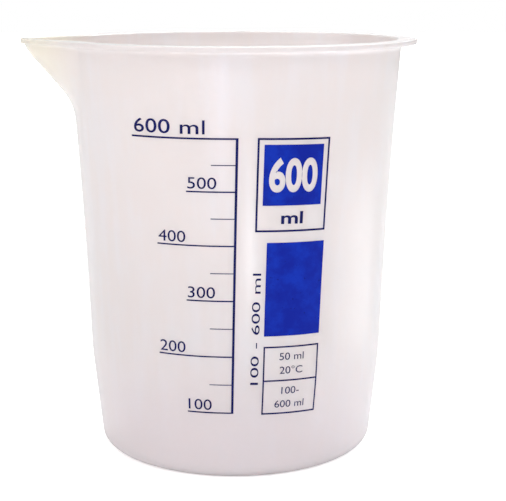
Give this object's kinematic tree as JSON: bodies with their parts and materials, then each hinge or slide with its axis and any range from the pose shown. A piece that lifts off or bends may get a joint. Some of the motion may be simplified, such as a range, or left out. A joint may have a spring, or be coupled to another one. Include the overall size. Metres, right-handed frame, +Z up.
{
  "type": "beaker",
  "caption": "Translucent moulded plastic laboratory beaker with a pouring spout, a flat rim flange and a blue printed volume scale.",
  "frame": {"origin": "centre of the flat underside, on the bowl's axis (the spout makes the overall box longer to -X, so this is not the box's centre)", "axes": "+Z up along the bowl's axis, -X towards the spout's nose, -Y towards the viewer who reads the printed scale"},
  "size_m": [0.1194, 0.1094, 0.125],
  "materials": {
    "body_plastic": "translucent natural polypropylene, satin moulded surface",
    "line_ink": "thin dark blue screen-printing ink",
    "solid_ink": "solid blue screen-printing ink"
  },
  "bodies": {
    "root": {"beaker_body": "body_plastic", "data_box": "line_ink", "data_line_1_character_1": "line_ink", "data_line_1_character_2": "line_ink", "data_line_1_character_3": "line_ink", "data_line_1_character_4": "line_ink", "data_line_2_character_1": "line_ink", "data_line_2_character_2": "line_ink", "data_line_2_character_3": "line_ink", "data_line_2_character_4": "line_ink", "data_line_3_character_1": "line_ink", "data_line_3_character_2": "line_ink", "data_line_3_character_3": "line_ink", "data_line_3_character_4": "line_ink", "data_line_4_character_1": "line_ink", "data_line_4_character_2": "line_ink", "data_line_4_character_3": "line_ink", "data_line_4_character_4": "line_ink", "data_line_4_character_5": "line_ink", "graduation_ladder": "line_ink", "mark_1_digit_1": "line_ink", "mark_1_digit_2": "line_ink", "mark_1_digit_3": "line_ink", "mark_2_digit_1": "line_ink", "mark_2_digit_2": "line_ink", "mark_2_digit_3": "line_ink", "mark_3_digit_1": "line_ink", "mark_3_digit_2": "line_ink", "mark_3_digit_3": "line_ink", "mark_4_digit_1": "line_ink", "mark_4_digit_2": "line_ink", "mark_4_digit_3": "line_ink", "mark_5_digit_1": "line_ink", "mark_5_digit_2": "line_ink", "mark_5_digit_3": "line_ink", "mark_6_digit_1": "line_ink", "mark_6_digit_2": "line_ink", "mark_6_digit_3": "line_ink", "marking_patch": "solid_ink", "number_loop_1": "solid_ink", "number_loop_2": "solid_ink", "number_loop_3": "solid_ink", "panel_frame": "line_ink", "panel_letter_1": "line_ink", "panel_letter_2": "line_ink", "panel_square": "solid_ink", "side_line_character_1": "line_ink", "side_line_character_2": "line_ink", "side_line_character_3": "line_ink", "side_line_character_4": "line_ink", "side_line_character_5": "line_ink", "side_line_character_6": "line_ink", "side_line_character_7": "line_ink", "side_line_character_8": "line_ink", "side_line_character_9": "line_ink", "unit_letter_1": "line_ink", "unit_letter_2": "line_ink"}
  },
  "joints": []
}
